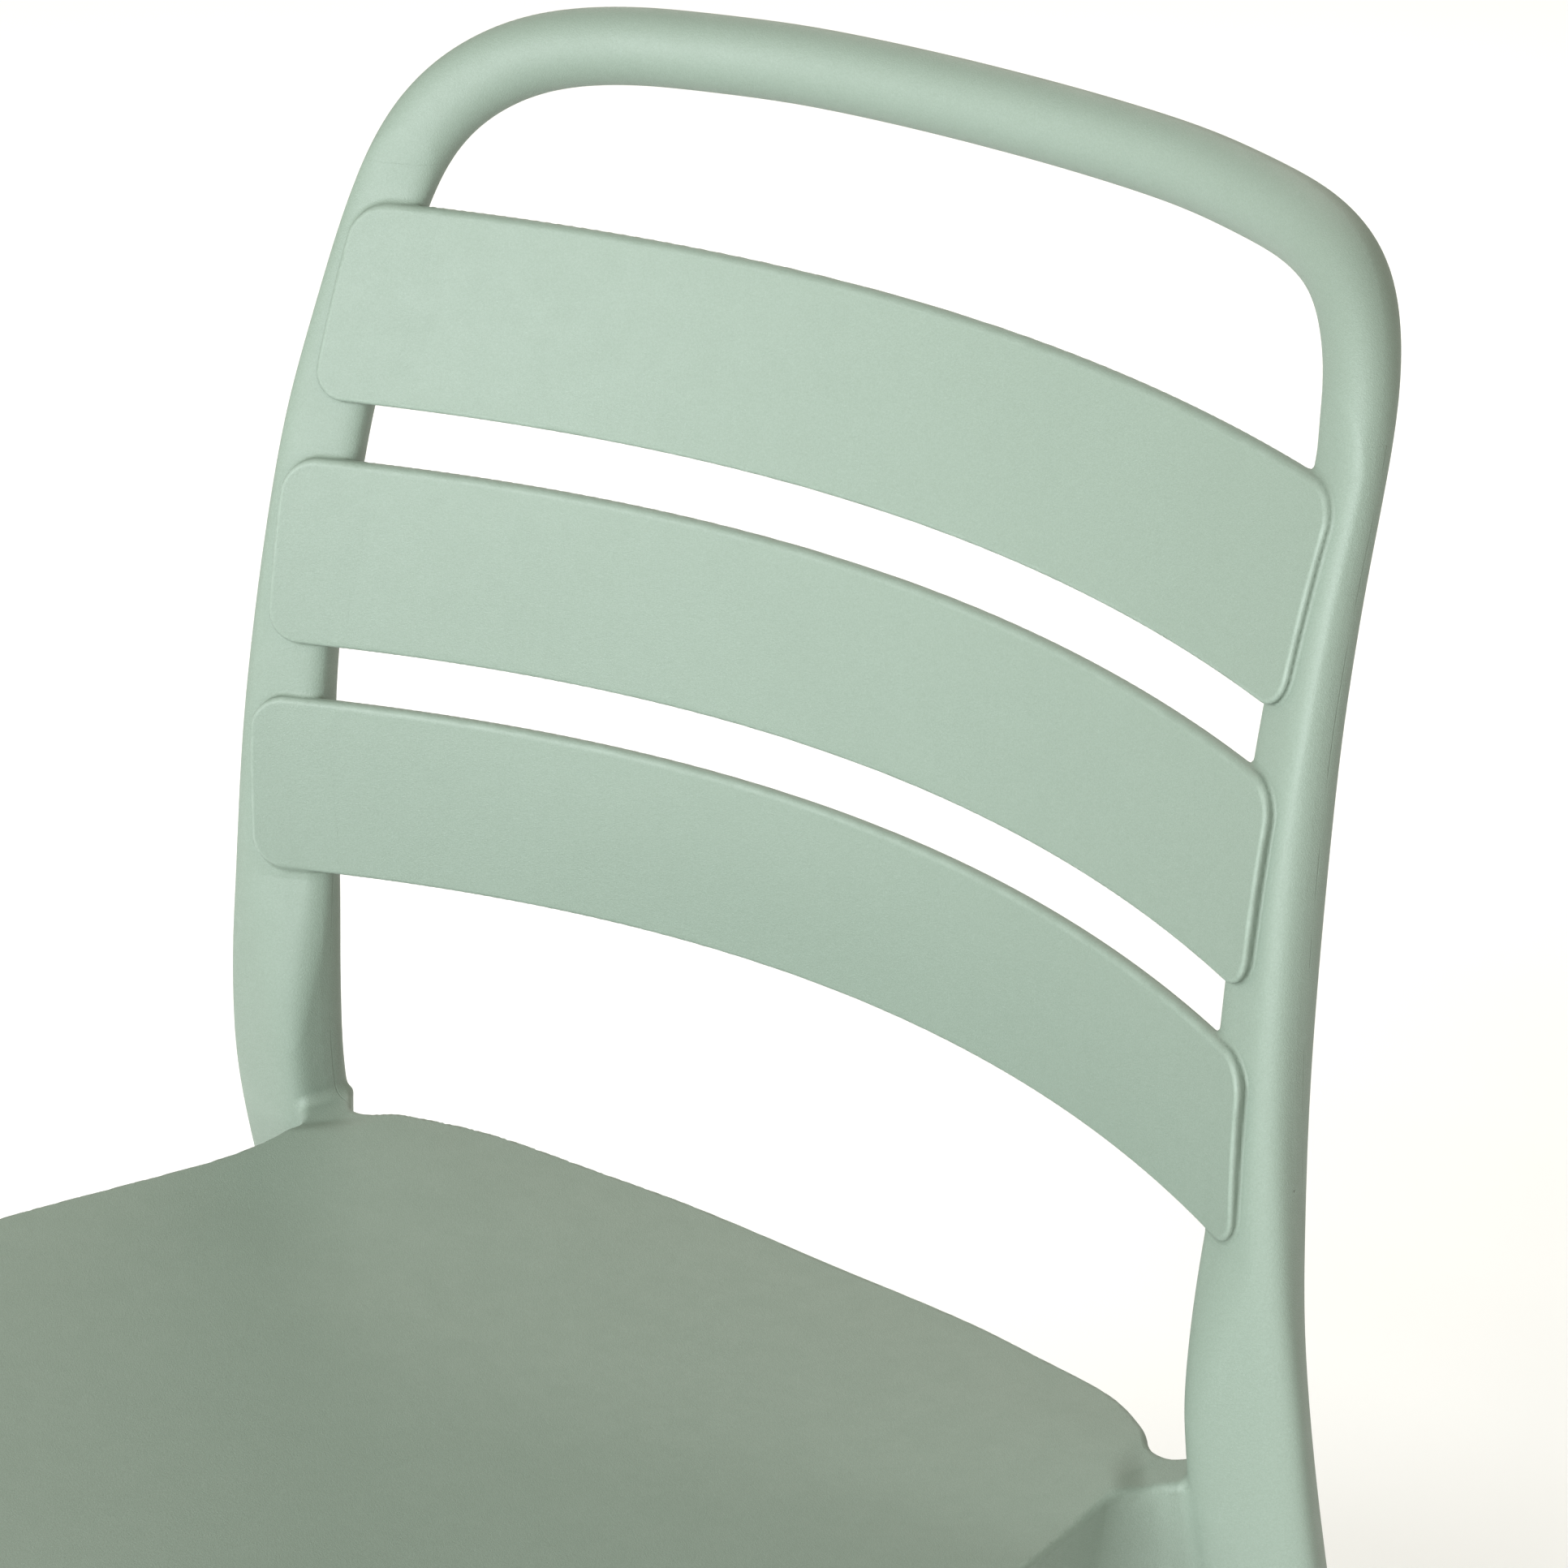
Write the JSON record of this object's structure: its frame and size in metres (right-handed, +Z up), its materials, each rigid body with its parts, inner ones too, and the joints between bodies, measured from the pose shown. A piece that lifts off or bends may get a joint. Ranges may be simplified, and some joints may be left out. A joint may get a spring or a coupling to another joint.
{
  "type": "stacking chair",
  "caption": "Moulded plastic stacking chair without arms: curved slatted back in a rounded hoop frame, dished seat, splayed tube legs on push-in glides.",
  "frame": {"origin": "on the floor, at the centre of the bounding box in plan", "axes": "+Z up, -Y the way the sitter faces, +X to the right seen from the front; X = 0 is the plane of symmetry"},
  "size_m": [0.476, 0.5704, 0.8232],
  "materials": {
    "moulding": "matte, finely grained glass-filled polypropylene, sage green",
    "glide": "matte, soft grey-green elastomer"
  },
  "bodies": {
    "root": {"top_rail": "moulding", "left_post": "moulding", "right_post": "moulding", "top_slat": "moulding", "middle_slat": "moulding", "bottom_slat": "moulding", "seat_panel": "moulding", "left_neck": "moulding", "right_neck": "moulding", "left_side_rail": "moulding", "right_side_rail": "moulding", "front_cross_rail": "moulding", "rear_cross_rail": "moulding", "under_seat_ribs": "moulding", "left_front_leg": "moulding", "right_front_leg": "moulding", "left_rear_leg": "moulding", "right_rear_leg": "moulding", "left_front_glide": "glide", "right_front_glide": "glide", "left_rear_glide": "glide", "right_rear_glide": "glide"}
  },
  "joints": []
}
